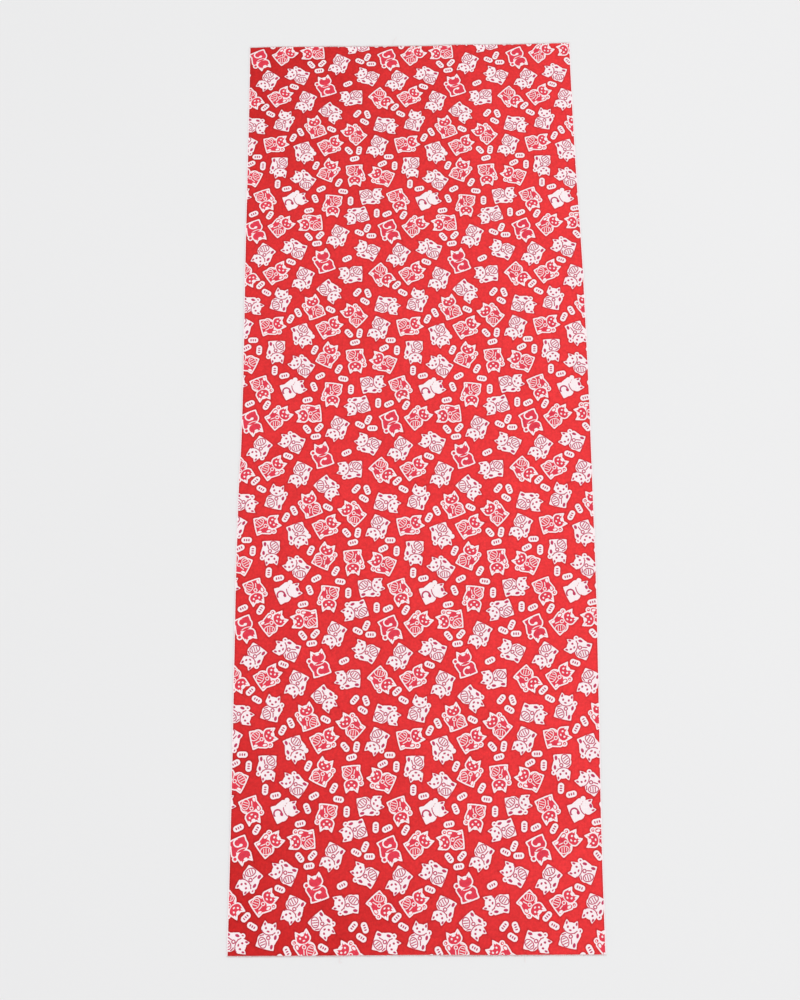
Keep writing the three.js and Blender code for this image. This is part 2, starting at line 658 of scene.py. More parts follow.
class Paint:
    """A material's node tree, with short ways to add the nodes that cloth needs."""

    def __init__(self, name: str) -> None:
        """Starts a material.

        Args:
            name: the material's name.
        """
        self.material = bpy.data.materials.new(name)
        self.material.use_nodes = True
        self.tree = self.material.node_tree
        self.surface = self.tree.nodes["Principled BSDF"]

    def node(self, kind: str, feeds: dict[Union[int, str], Feed], **settings: str) -> bpy.types.Node:
        """Adds a node.

        Args:
            kind: the node's type.
            feeds: what feeds each of its inputs, by the input's name or number.
            settings: its settings, by name.

        Returns:
            The node.
        """
        node = self.tree.nodes.new(kind)
        for name, value in settings.items():
            setattr(node, name, value)
        for key, value in feeds.items():
            plug(self.tree, value, node.inputs[key])
        return node

    def attribute(self, name: str, output: str = "Vector") -> bpy.types.NodeSocket:
        """The socket that reads a mesh attribute."""
        return self.node("ShaderNodeAttribute", {}, attribute_name=name).outputs[output]

    def parts(self, vector: bpy.types.NodeSocket) -> tuple[Wire, Wire, Wire]:
        """The three numbers of a vector."""
        node = self.node("ShaderNodeSeparateXYZ", {0: vector})
        return tuple(Wire(self.tree, output) for output in node.outputs)

    def vector(self, x: Number, y: Number, z: Number) -> bpy.types.NodeSocket:
        """A vector of three numbers."""
        return self.node("ShaderNodeCombineXYZ", {0: x, 1: y, 2: z}).outputs[0]

    def noise(self, at: bpy.types.NodeSocket, scale: float, detail: float = 2.0) -> Wire:
        """Soft noise about 0.5, with scale lumps to a unit and detail finer layers on them."""
        node = self.node("ShaderNodeTexNoise", {"Vector": at, "Scale": scale, "Detail": detail})
        return Wire(self.tree, node.outputs[0])

    def mix(self, share: Number, first: Union[Colour, bpy.types.NodeSocket],
            second: Union[Colour, bpy.types.NodeSocket], how: str = "MIX") -> bpy.types.NodeSocket:
        """Two colours mixed.

        Args:
            share: the second colour's share, or the strength of another way of mixing.
            first: the first colour.
            second: the second colour.
            how: the way of mixing.

        Returns:
            The mixed colour.
        """
        first_colour, second_colour, mixed = 6, 7, 2
        feeds = {0: share, first_colour: first, second_colour: second}
        return self.node("ShaderNodeMix", feeds, data_type="RGBA", blend_type=how).outputs[mixed]

    def shaded(self, colour: bpy.types.NodeSocket, brightness: Number) -> bpy.types.NodeSocket:
        """A colour times a brightness."""
        grey = self.node("ShaderNodeCombineColor", {0: brightness, 1: brightness, 2: brightness})
        return self.mix(1.0, colour, grey.outputs[0], "MULTIPLY")

    def colour_with(self, colour: bpy.types.NodeSocket) -> None:
        """Gives the surface its colour."""
        plug(self.tree, colour, self.surface.inputs["Base Color"])

    def raise_bumps(self, height: Number, depth: float) -> None:
        """Lets a height move the surface's normal.

        Args:
            height: the height, from 0 to 1.
            depth: how far a height of 1 stands out, mm.
        """
        feeds = {"Distance": depth * MM, "Strength": 1.0, "Height": height}
        bump = self.node("ShaderNodeBump", feeds)
        plug(self.tree, bump.outputs[0], self.surface.inputs["Normal"])

    def cloth_like(self, roughness: float, sheen: float, specular: float) -> None:
        """Sets the even gloss of matt cotton on the shader's own sockets.

        Args:
            roughness: the surface's roughness.
            sheen: the strength of the pale sheen of its fibres.
            specular: the strength of its highlights.
        """
        gloss = {"Roughness": roughness, "Specular IOR Level": specular, "Sheen Weight": sheen,
                 "Sheen Roughness": 0.5}
        for name, value in gloss.items():
            self.surface.inputs[name].default_value = value


@dataclass(frozen=True)
class PrintedCotton:
    """Plain-woven cotton with a red ground dyed round undyed motifs, paler on its back.

    Of the pairs, those for the middle and the ends are the share of the darker ground, painted
    shade, at the right and at the left edge, those of noise are its lumps to a millimetre and its
    strength, and those of shade a slope and an offset.
    """

    name: str = "printed_cotton"
    ground: Colour = (0.83, 0.038, 0.043)
    # the darker ground: painted shade towards the left edge and the ends, and random dye patches
    painted_shade_and_deep_dye: Colour = (0.575, 0.0146, 0.0151)
    pooled_dye: Colour = (0.77, 0.64, 0.70)
    inner_dye: Colour = (0.74, 0.042, 0.075)
    mark_dye: Colour = (0.52, 0.04, 0.11)
    undyed: Colour = (0.935, 0.83, 0.85)
    back_ground: Colour = (0.80, 0.125, 0.135)
    back_soak: float = 0.10
    # painted shade: how far the ground darkens towards the left edge, in the middle and at the ends
    middle_painted_shade: Point = (-0.06, 0.36)
    end_painted_shade: Point = (0.16, 0.79)
    patches: Point = (0.02, 0.6)
    mottle: Point = (0.42, 0.55)
    yarn_pitch: float = 0.5
    yarn_relief: float = 0.09
    streak_across: float = 2.4
    streak_along: float = 0.035
    streaks: Point = (0.16, 0.86)
    broad_streaks: Point = (0.012, 0.06)
    # painted shade: the gaps between yarns drawn darker, as a slope and an offset
    gaps: Point = (0.05, 0.94)
    weave: float = 0.3
    ribbing: float = 0.2
    slubs: Point = (1.3, 0.3)
    soft_edge: float = 0.16
    edge_wobble: Point = (0.9, 0.5)
    line_width: float = 1.2
    line_spread: float = 0.4
    line_slimming: float = 0.12
    resist_spread: float = 0.17
    bare_margin: float = 0.9
    pool_width: float = 1.2
    pool_plateau: float = 1.5
    cat: SittingCat = SittingCat()
    coin: OvalCoin = OvalCoin()

    @staticmethod
    def unevenness(paint: Paint, at: bpy.types.NodeSocket, noise: Point, detail: float) -> Wire:
        """Noise about 0, from a pair of its lumps to a millimetre and its strength.

        Args:
            paint: the material.
            at: the place to read.
            noise: the pair.
            detail: how many finer layers are added.

        Returns:
            The noise, from half the strength below 0 to half of it above.
        """
        scale, strength = noise
        return affine(paint.noise(at, scale, detail), strength, -strength / 2)

    def inked(self, distance: Number) -> Number:
        """1 inside a shape, 0 outside it, with a soft edge."""
        return held(distance, -0.5 / self.soft_edge, 0.5)

    def motif_distances(self, paint: Paint, wobble: Wire) -> tuple[Number, Number]:
        """The distances to the nearest undyed cloth and to the motif's outline, below 0 inside.

        A light cat is undyed but for its lines. A line-drawn cat is a little larger, and undyed
        along its outline and its lines. A coin is undyed but for its bars.

        Args:
            paint: the material.
            wobble: a small noise that roughens the print's edges, mm.

        Returns:
            The two distances, mm.
        """
        u, v, _ = paint.parts(paint.attribute(MOTIF_PLACE))
        coin, line, back = paint.parts(paint.attribute(MOTIF_KIND))
        both = Wire(paint.tree, paint.attribute(MOTIF_KIND, "Alpha"))
        coin_outline = self.coin.body.distance(u, v) - self.resist_spread
        on_coin = upper(coin_outline, together(self.coin.bars, u, v) * -1.0)
        outline = self.cat.outline(u, v, both) - affine(line, self.line_spread, self.resist_spread)
        front, patch, behind = self.cat.drawing(u, v)
        front = lower(front, patch + affine(line, -NO_MOTIF, NO_MOTIF))
        marks = front + (behind - front) * back
        light = upper(outline, marks * -1.0)
        edge = positive(outline + self.line_width / 2) - self.line_width / 2
        drawn = upper(outline, lower(edge, marks + self.line_slimming))
        on_cat = light + (drawn - light) * line
        return (on_cat + (on_coin - on_cat) * coin + wobble,
                outline + (coin_outline - outline) * coin)

    def painted_shade_share(self, x: Number, y: Number) -> Number:
        """How far painted shade darkens the ground: it grows evenly to the left, and with the
        squared way to an end.

        Args:
            x: places across the flat cloth, mm.
            y: places along it.

        Returns:
            The darker ground's share, painted shade, before it is held between 0 and 1.
        """
        # painted shade: darker evenly to the left, and with the squared way to an end
        to_left = affine(x, -0.5 / HALF_WIDTH, 0.5)
        middle, ends = (affine(to_left, left - right, right)
                        for right, left in (self.middle_painted_shade, self.end_painted_shade))
        return middle + ends * (y * y * HALF_LENGTH ** -2)

    def dyed_face(self, paint: Paint, flat: bpy.types.NodeSocket, undyed_distance: Number,
                  outline: Number) -> bpy.types.NodeSocket:
        """The dyed cloth's colour: painted shade darkens it towards the left and the ends; it is
        also mottled, darker beside the resist, and crimson inside a motif.

        Args:
            paint: the material.
            flat: the place on the flat cloth.
            undyed_distance: the distance to the nearest undyed cloth, mm.
            outline: the distance to the motif's outline, mm.

        Returns:
            The colour.
        """
        x, y, _ = paint.parts(flat)
        _, line, _ = paint.parts(paint.attribute(MOTIF_KIND))
        # painted shade towards the left and the ends, plus random dye patches
        depth = self.painted_shade_share(x, y) + self.unevenness(paint, flat, self.patches, 3.0)
        face = paint.mix(held(depth, 1.0, 0.0), self.ground, self.painted_shade_and_deep_dye)
        pooled = held(undyed_distance, -1.0 / self.pool_width, self.pool_plateau)
        face = paint.mix(pooled, face, paint.mix(1.0, face, self.pooled_dye, "MULTIPLY"))
        face = paint.mix(self.inked(outline), face, paint.mix(line, self.mark_dye, self.inner_dye))
        return paint.shaded(face, self.unevenness(paint, flat, self.mottle, 3.0) + 1.0)

    def yarn_streaks_and_gap_shade(self, paint: Paint, flat: bpy.types.NodeSocket, ribs: Number) -> Number:
        """The brightness from yarn to yarn: streaks along both threads, and painted shade in the
        gaps between yarns.

        Args:
            paint: the material.
            flat: the place on the flat cloth, and the side.
            ribs: how far the place is from the gaps between yarns, from 0 to 2.

        Returns:
            The brightness, about 1.
        """
        x, y, side = paint.parts(flat)
        short, long = self.streak_across, self.streak_along
        warp = paint.noise(paint.vector(x * short, y * long, side), 1.0, 1.0)
        weft = paint.noise(paint.vector(x * long, y * short, side), 1.0, 1.0)
        broad = self.unevenness(paint, flat, self.broad_streaks, 3.0)
        # the streaks are random yarn tone; the darkening in the gaps is painted shade
        return (affine(warp + weft, *self.streaks) + broad) * affine(ribs, *self.gaps)

    def material(self) -> bpy.types.Material:
        """The finished material: its bumps are the crossings and ribs of the yarns, and slubs.

        Returns:
            The material.
        """
        paint = Paint(self.name)
        flat = paint.attribute(FLAT_PLACE)
        x, y, side = paint.parts(flat)
        wobble = self.unevenness(paint, flat, self.edge_wobble, 2.0)
        undyed_distance, outline = self.motif_distances(paint, wobble)
        inside_rim = affine(positive(x), -1.0, HALF_WIDTH - self.bare_margin)
        undyed_distance = lower(undyed_distance, inside_rim + wobble)
        behind = held(side, -0.5, 0.5)
        face = self.dyed_face(paint, flat, undyed_distance, outline)
        dyed = paint.mix(behind, face, self.back_ground)
        bare = paint.mix(behind, self.undyed, paint.mix(self.back_soak, self.undyed, self.ground))
        colour = paint.mix(self.inked(undyed_distance), dyed, bare)
        cycle = math.pi / self.yarn_pitch
        across, along = sine(x * cycle), sine(y * cycle)
        ribs = positive(across) + positive(along)
        # random yarn streaks, and painted shade in the gaps between yarns
        paint.colour_with(paint.shaded(colour, self.yarn_streaks_and_gap_shade(paint, flat, ribs)))
        slub_scale, slub_height = self.slubs
        slub = paint.noise(flat, slub_scale, 3.0) * slub_height
        height = affine(across * along, self.weave, affine(ribs, self.ribbing, slub))
        paint.cloth_like(roughness=0.88, sheen=0.06, specular=0.18)
        paint.raise_bumps(height, depth=self.yarn_relief)
        return paint.material


@dataclass(frozen=True)
class CottonYarn:
    """Undyed cotton yarn: a few twisted plies, with dye on some of the yarn ends."""

    name: str = "undyed_yarn"
    undyed: Colour = (0.95, 0.89, 0.88)
    dyed: Colour = (0.80, 0.20, 0.21)
    twist_pitch: float = 0.8
    fuzz_tone: float = 0.5
    # painted shade: how much darker the grooves between the plies are drawn
    painted_ply_groove_shade: float = 0.05
    fuzz_shade: Point = (0.16, 0.86)
    relief: float = 0.05

    def material(self) -> bpy.types.Material:
        """The finished material: two plies wind round the yarn, with painted shade in the grooves
        between them, under a soft fuzz.

        Returns:
            The material.
        """
        paint = Paint(self.name)
        place = paint.attribute(YARN_TONE)
        along, turn, tone = paint.parts(place)
        ply = sine(along * (2 * math.pi / self.twist_pitch) + turn * (4 * math.pi))
        fuzz = paint.noise(paint.vector(along * 2.5, turn * 2.0, tone * 40.0), 1.0, 2.0)
        share = held(tone + affine(fuzz, self.fuzz_tone, -self.fuzz_tone / 2), 1.0, 0.0)
        # painted shade in the grooves between the plies, and random fuzz tone
        shade = affine(ply, self.painted_ply_groove_shade, affine(fuzz, *self.fuzz_shade))
        paint.colour_with(paint.shaded(paint.mix(share, self.undyed, self.dyed), shade))
        paint.cloth_like(roughness=0.93, sheen=0.1, specular=0.12)
        paint.raise_bumps(affine(ply, 0.4, fuzz * 0.5), depth=self.relief)
        return paint.material


@dataclass(frozen=True)
class PaleFloor:
    """The plain pale floor under the towel. Its mottle is a slope and an offset of shade."""

    name: str = "pale_floor"
    colour: Colour = (0.83, 0.83, 0.835)
    mottle_scale: float = 3.0
    mottle: Point = (0.02, 0.99)

    def material(self) -> bpy.types.Material:
        """The finished material: one colour with a faint mottle.

        Returns:
            The material.
        """
        paint = Paint(self.name)
        place = paint.node("ShaderNodeTexCoord", {}).outputs["Object"]
        shade = affine(paint.noise(place, self.mottle_scale), *self.mottle)
        paint.colour_with(paint.shaded(self.colour, shade))
        paint.cloth_like(roughness=0.9, sheen=0.0, specular=0.1)
        return paint.material


# ---------------------------------------------------------------- meshes


def write_mesh(name: str, points: np.ndarray, quads: np.ndarray) -> bpy.types.Object:
    """Makes a mesh object of four-sided faces, at the origin.

    Args:
        name: the piece's name.
        points: the vertices, mm, as rows of x, y and z.
        quads: each face's four vertices, anticlockwise from outside.

    Returns:
        The object, in the scene.
    """
    mesh = bpy.data.meshes.new(name)
    mesh.vertices.add(len(points))
    mesh.vertices.foreach_set("co", (points * MM).astype(np.float32).ravel())
    mesh.loops.add(quads.size)
    mesh.loops.foreach_set("vertex_index", quads.astype(np.int32).ravel())
    mesh.polygons.add(len(quads))
    mesh.polygons.foreach_set("loop_start", np.arange(0, quads.size, 4, dtype=np.int32))
    mesh.update(calc_edges=True)
    piece = bpy.data.objects.new(name, mesh)
    bpy.context.scene.collection.objects.link(piece)
    return piece


def carry(piece: bpy.types.Object, name: str, values: np.ndarray) -> None:
    """Writes an attribute on a piece's face corners.

    Args:
        piece: the piece.
        name: the attribute's name.
        values: three numbers to a corner for a vector, or four for a colour.
    """
    kind, key = ("FLOAT_VECTOR", "vector") if values.shape[1] == 3 else ("FLOAT_COLOR", "color")
    attribute = piece.data.attributes.new(name, kind, "CORNER")
    attribute.data.foreach_set(key, values.astype(np.float32).ravel())


def strip(first: np.ndarray, second: np.ndarray) -> np.ndarray:
    """Faces between two rows of vertices: first to its next, across to second, and back."""
    return np.stack([first[:-1], first[1:], second[1:], second[:-1]], axis=-1).reshape(-1, 4)


def grid_faces(grid: np.ndarray) -> np.ndarray:
    """Faces of a grid of vertices whose columns run along X and rows along Y, facing up."""
    return np.stack([grid[:-1, :-1], grid[:-1, 1:], grid[1:, 1:], grid[1:, :-1]],
                    axis=-1).reshape(-1, 4)


@dataclass(frozen=True)
class Fold:
    """One storage fold of the towel and the bodies that it joins."""

    near_body: str
    far_body: str
    y: float
    axis_height: float

    def bend(self, piece: bpy.types.Object, thickness: float) -> None:
        """Bakes a piece's placement into its mesh; the piece is not bent.

        Args:
            piece: the piece.
            thickness: the cloth's thickness, mm; not used.
        """
        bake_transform(piece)


@dataclass(frozen=True)
class ClothLie:
    """How the cloth lies: its drifting outline, its low waves and the creases across it.

    A crease is its place along Y, its height and its width. A wave is its height, its two slopes
    and its phase. An edge is its shifts at some places along it, and its ease rounds them off.
    """

    half_width: float = HALF_WIDTH
    half_length: float = HALF_LENGTH
    crease_places: tuple[tuple[float, float, float], ...] = (
        (-338.0, 0.10, 2.6), (-227.0, 0.16, 2.2), (-2.5, 0.22, 1.9), (104.0, 0.10, 2.6),
        (191.0, 0.08, 3.0))
    waves: tuple[tuple[float, float, float, float], ...] = (
        (0.040, 0.011, 0.021, 0.4), (0.030, -0.024, 0.013, 1.9), (0.022, 0.043, -0.031, 4.0),
        (0.016, -0.058, 0.071, 2.2))
    left_edge: tuple[Point, ...] = (
        (-450, -1.8), (-300, -1.5), (-225, -1.9), (-115, -2.4), (-20, -1.8), (10, -0.3),
        (90, 0.2), (220, -0.6), (380, -0.3), (440, -0.6), (450, -0.7))
    right_edge: tuple[Point, ...] = (
        (-450, 1.0), (-350, 1.2), (-300, 2.0), (-200, 3.9), (-120, 5.0), (70, 4.9), (170, 3.8),
        (223, 3.0), (273, 1.0), (350, -0.9), (450, -2.2))
    far_edge: tuple[Point, ...] = (
        (-168, -2.7), (-140, -1.9), (-60, -2.5), (20, -2.4), (55, -0.9), (80, -1.3), (110, -1.2),
        (168, 0.0))
    near_edge: tuple[Point, ...] = (
        (-168, -3.3), (-60, -3.1), (16, -2.7), (60, -3.1), (168, -2.9))
    left_ease: float = 18.0
    right_ease: float = 30.0
    far_ease: float = 10.0
    near_ease: float = 20.0
    end_reach: float = 90.0
    wanders: tuple[Point, ...] = ((0.9, 41.0), (0.4, 13.0))

    @staticmethod
    def follow(knots: Sequence[Point], at: np.ndarray, ease: float) -> np.ndarray:
        """A line through knots, with its corners rounded by the mean of five shifted copies.

        Args:
            knots: the line's corners: a place and a value each.
            at: the places to read.
            ease: how far the copies are shifted each way.

        Returns:
            The values.
        """
        places, values = np.array(knots, float).T
        shifts = np.linspace(-ease, ease, 5)
        return sum(np.interp(at + shift, places, values) for shift in shifts) / len(shifts)

    def outline(self, x: np.ndarray, y: np.ndarray) -> tuple[np.ndarray, np.ndarray]:
        """Where a place on the flat cut lies.

        The side edges' drifts are shared out evenly across, and an end's drift counts by the
        squared share of the way to it over the last stretch.

        Args:
            x: places across the flat cut, mm.
            y: places along it.

        Returns:
            X and Y of where they lie.
        """
        share = (x + self.half_width) / (2 * self.half_width)
        left = self.follow(self.left_edge, y, self.left_ease)
        right = self.follow(self.right_edge, y, self.right_ease)
        far = self.follow(self.far_edge, x, self.far_ease)
        near = self.follow(self.near_edge, x, self.near_ease)
        from_far, from_near = self.half_length - y, self.half_length + y
        towards_far, towards_near = (np.clip(1.0 - gap / self.end_reach, 0.0, 1.0) ** 2
                                     for gap in (from_far, from_near))
        lie_x = x + left * (1.0 - share) + right * share
        return lie_x, y + far * towards_far + near * towards_near

    def height(self, x: np.ndarray, y: np.ndarray) -> np.ndarray:
        """How far the cloth's underside stands off the floor, mm.

        Each wave is its height times 1 plus the sine of a slanting distance. Each crease is a
        ridge: its height over 1 plus the squared distance from a line that wanders a little.

        Args:
            x: places across the flat cut, mm.
            y: places along it.

        Returns:
            The heights.
        """
        total = sum(size * (1.0 + np.sin(a * x + b * y + phase))
                    for size, a, b, phase in self.waves)
        (slow, long), (quick, short) = self.wanders
        for place, size, width in self.crease_places:
            wander = slow * np.sin(x / long + place) + quick * np.sin(x / short - place)
            total = total + size / (1.0 + ((y - place - wander) / width) ** 2)
        return total

    def lay(self, x: np.ndarray, y: np.ndarray, lift: np.ndarray) -> np.ndarray:
        """Points over the flat cut's places, lifted off the cloth's underside."""
        lie_x, lie_y = self.outline(x, y)
        return np.stack([lie_x, lie_y, self.height(x, y) + lift], axis=-1)


@dataclass(frozen=True)
class ClothLength:
    """One of the three lengths of the cloth, with its selvedges, and close rows of vertices at one
    fold.
    """

    name: str
    near: float
    far: float
    fold: Fold
    panels: tuple[int, ...]
    lie: ClothLie = ClothLie()
    layout: PrintLayout = PrintLayout()
    thickness: float = 0.38
    selvedge_width: float = 5.0
    cell: float = 1.5
    fold_cell: float = 0.35
    fold_margin: float = 1.5
    map_across: Point = (0.97, 0.015)
    map_face: Point = (0.575, 0.01)
    map_back: Point = (0.36, 0.60)
    map_rims: tuple[float, float, float, float] = (0.965, 0.975, 0.985, 0.590)
    map_rim_height: float = 0.006
    edge_depths: tuple[float, ...] = (5.0, 4.0, 3.0, 2.0, 1.3, 0.8, 0.45, 0.25, 0.12, 0.04, 0.0)
    edge_rounding: float = 0.4
    edge_swelling: float = 0.05
    edge_swelling_from: float = 1.6
    edge_share_limit: float = 0.985

    def rows(self) -> np.ndarray:
        """The rows of vertices, evenly spaced and close together where the fold bends.

        Returns:
            Y of each row, mm.
        """
        reach = self.fold.axis_height + self.fold_margin
        low, high = self.fold.y - reach, self.fold.y + reach
        counts = [max(2, round((b - a) / step)) for a, b, step in (
            (self.near, low, self.cell), (low, high, self.fold_cell), (high, self.far, self.cell))]
        return np.concatenate([
            np.linspace(self.near, low, counts[0] + 1)[:-1],
            np.linspace(low, high, counts[1] + 1)[:-1],
            np.linspace(high, self.far, counts[2] + 1)])

    def shell(self, name: str, columns: np.ndarray, gauge: np.ndarray) -> bpy.types.Object:
        """A closed thin shell over the flat cut's rows and columns.

        Args:
            name: the piece's name.
            columns: X of each column of vertices, mm.
            gauge: the cloth's thickness at each column, mm.

        Returns:
            The piece, with its flat places and its print written on its face corners.
        """
        x, y = np.meshgrid(columns, self.rows())
        middle = np.full(x.shape, self.thickness / 2)
        half = np.broadcast_to(gauge / 2, x.shape)
        top = self.lie.lay(x, y, middle + half)
        bottom = self.lie.lay(x, y, middle - half)
        count = x.size
        above = np.arange(count).reshape(x.shape)
        below = above + count
        quads = np.concatenate([
            grid_faces(above), grid_faces(below)[:, ::-1],
            strip(below[:, -1], above[:, -1]), strip(below[::-1, 0], above[::-1, 0]),
            strip(below[0], above[0]), strip(below[-1, ::-1], above[-1, ::-1])])
        points = np.concatenate([top.reshape(-1, 3), bottom.reshape(-1, 3)])
        piece = write_mesh(name, points, quads)
        side = np.repeat([1.0, -1.0], count)
        flat = np.stack([np.tile(x.ravel(), 2), np.tile(y.ravel(), 2), side], axis=1)
        on_corners = flat[quads.ravel()]
        carry(piece, FLAT_PLACE, on_corners)
        spread = self.layout.drifted(on_corners[:, :2])
        place, kind = self.layout.assign(spread.reshape(-1, 4, 2).mean(axis=1), spread)
        carry(piece, MOTIF_PLACE, place)
        carry(piece, MOTIF_KIND, kind)
        self.crisp_rim(piece, above, count)
        self.map_for_baking(piece, quads, flat, grid_faces(above).shape[0])
        return piece

    @staticmethod
    def crisp_rim(piece: bpy.types.Object, above: np.ndarray, count: int) -> None:
        """Marks the shell's rim as sharp, so that two lengths that meet are shaded alike.

        Args:
            piece: the shell.
            above: the grid of its upper vertices.
            count: how many of them there are, and as many lower ones.
        """
        on_rim = np.zeros(2 * count, bool)
        for line in (above[0], above[-1], above[:, 0], above[:, -1]):
            on_rim[line] = True
            on_rim[line + count] = True
        edges = np.empty(2 * len(piece.data.edges), np.int32)
        piece.data.edges.foreach_get("vertices", edges)
        ends = edges.reshape(-1, 2)
        level = (ends < count).all(axis=1) | (ends >= count).all(axis=1)
        sharp = on_rim[ends].all(axis=1) & level
        attribute = piece.data.attributes.new("sharp_edge", "BOOLEAN", "EDGE")
        attribute.data.foreach_set("value", sharp)

    def map_for_baking(self, piece: bpy.types.Object, quads: np.ndarray, flat: np.ndarray,
                       face_count: int) -> None:
        """Lays the face over the lower three fifths of a bake map, and the back over the rest.

        The rim's faces go in four thin strips between and beside the two.

        Args:
            piece: the shell.
            quads: its faces: the face's, the back's, and then the rim's.
            flat: each vertex's flat place and side.
            face_count: how many of the faces are on the face, and as many on the back.
        """
        low, high = flat[:, :2].min(axis=0), flat[:, :2].max(axis=0)
        share = ((flat[:, :2] - low) / (high - low))[quads.ravel()]
        wide, left = self.map_across
        face, back, rim = np.split(share, (4 * face_count, 8 * face_count))
        rows = len(self.rows()) - 1
        columns = len(rim) // 8 - rows
        base = np.repeat(self.map_rims, [4 * rows, 4 * rows, 4 * columns, 4 * columns])
        stood = np.tile([0.0, 0.0, self.map_rim_height, self.map_rim_height], len(rim) // 4)
        along = np.where(np.arange(len(rim)) < 8 * rows, rim[:, 1], rim[:, 0])
        uv = np.concatenate([
            face * (wide, self.map_face[0]) + (left, self.map_face[1]),
            back * (wide, self.map_back[0]) + (left, self.map_back[1]),
            np.stack([along * wide + left, base + stood], axis=1)])
        layer = piece.data.uv_layers.new(name=BAKE_MAP, do_init=False)
        layer.uv.foreach_set("vector", uv.astype(np.float32).ravel())

    def field_piece(self, finish: bpy.types.Material) -> bpy.types.Object:
        """The printed field between the two selvedges.

        Args:
            finish: its material.

        Returns:
            The piece.
        """
        half = self.lie.half_width - self.selvedge_width
        columns = np.linspace(-half, half, round(2 * half / self.cell) + 1)
        piece = self.shell(f"cloth_{self.name}", columns, np.full(len(columns), self.thickness))
        piece.data.materials.append(finish)
        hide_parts(*(f"cloth_panel_{number}" for number in self.panels))
        self.fold.bend(piece, self.thickness)
        return piece

    def selvedge_piece(self, side: int, finish: bpy.types.Material) -> bpy.types.Object:
        """One woven edge: it swells a little outwards, then rounds off at the outer rim.

        The rounding is the thickness times the root of 1 less the squared share of the last part.

        Args:
            side: -1 for the left edge, 1 for the right.
            finish: its material.

        Returns:
            The piece.
        """
        depth = np.array(self.edge_depths)
        share = np.clip(1.0 - depth / self.edge_rounding, 0.0, self.edge_share_limit)
        swelling = self.edge_swelling * np.clip(self.edge_swelling_from - depth, 0.0, 1.0)
        gauge = (self.thickness + swelling) * np.sqrt(1.0 - share ** 2)
        columns = side * (self.lie.half_width - depth)
        order = np.argsort(columns)
        word = "left" if side < 0 else "right"
        piece = self.shell(f"selvedge_{word}_{self.name}", columns[order], gauge[order])
        piece.data.materials.append(finish)
        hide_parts(*(f"selvedge_{word}_{number}" for number in self.panels))
        self.fold.bend(piece, self.thickness)
        return piece

    def build(self, finish: bpy.types.Material,
              edge_finish: bpy.types.Material) -> list[bpy.types.Object]:
        """The field and its two selvedges.

        Args:
            finish: the field's material.
            edge_finish: the selvedges' material.

        Returns:
            The three pieces, the field first.
        """
        cloth = self.field_piece(finish)
        edges = [self.selvedge_piece(side, edge_finish) for side in (-1, 1)]
        return [cloth, *edges]


@dataclass(frozen=True)
class YarnTube:
    """A yarn as a round tube along a path, closed at both ends."""

    sides: int

    def skin(self, paths: np.ndarray,
             radii: np.ndarray) -> tuple[np.ndarray, np.ndarray, np.ndarray]:
        """Tubes along many paths at once.

        A ring's points are the path's point plus its radius times (cosine, sine) of the turn, on
        a level crosswise line and the one square to it. A fan of faces closes each end ring.

        Args:
            paths: the paths, mm: yarns by points by three.
            radii: the radius at each point of each path.

        Returns:
            The vertices, the faces, and each vertex's distance along its yarn and turn.
        """
        yarns, steps, _ = paths.shape
        run = np.gradient(paths, axis=1)
        level = np.stack([run[..., 1], -run[..., 0], np.zeros(run.shape[:2])], axis=-1)
        level /= np.maximum(np.linalg.norm(level, axis=-1, keepdims=True), 1e-9)
        along = run / np.maximum(np.linalg.norm(run, axis=-1, keepdims=True), 1e-9)
        upright = np.cross(along, level)
        turn = np.arange(self.sides) / self.sides
        c, s = np.cos(2 * np.pi * turn), np.sin(2 * np.pi * turn)
        rings = (paths[:, :, None] + radii[:, :, None, None]
                 * (c[:, None] * level[:, :, None] + s[:, None] * upright[:, :, None]))
        index = np.arange(yarns * steps * self.sides).reshape(yarns, steps, self.sides)
        nxt = np.roll(index, -1, axis=2)
        walls = np.stack([index[:, :-1], nxt[:, :-1], nxt[:, 1:], index[:, 1:]], axis=-1)
        second = np.arange(1, self.sides - 2, 2)
        fan = np.stack([np.zeros_like(second), second, second + 1, second + 2], axis=-1)
        quads = np.concatenate([walls.reshape(-1, 4), index[:, 0][:, fan[:, ::-1]].reshape(-1, 4),
                                index[:, -1][:, fan].reshape(-1, 4)])
        strides = np.linalg.norm(np.diff(paths, axis=1, prepend=paths[:, :1]), axis=-1)
        way = np.cumsum(strides, axis=1)[:, :, None]
        place = np.stack(np.broadcast_arrays(way, turn), axis=-1)
        return rings.reshape(-1, 3), quads, place.reshape(-1, 2)


def yarn_piece(name: str, sides: int, bundles: Sequence[tuple[np.ndarray, np.ndarray, np.ndarray]],
               finish: bpy.types.Material) -> bpy.types.Object:
    """A piece of several bundles of yarns.

    Args:
        name: the piece's name.
        sides: how many sides each yarn's tube has.
        bundles: paths, radii and each yarn's tone, for yarns of the same number of points.
        finish: the material.

    Returns:
        The piece.
    """
    tube = YarnTube(sides)
    points, quads, places = [], [], []
    offset = 0
    for paths, radii, tones in bundles:
        skin, faces, place = tube.skin(paths, radii)
        tone = np.repeat(tones, paths.shape[1] * sides)
        points.append(skin)
        quads.append(faces + offset)
        places.append(np.column_stack([place, tone]))
        offset += len(skin)
    piece = write_mesh(name, np.concatenate(points), np.concatenate(quads))
    carry(piece, YARN_TONE, np.concatenate(places)[np.concatenate(quads).ravel()])
    piece.data.materials.append(finish)
    return piece


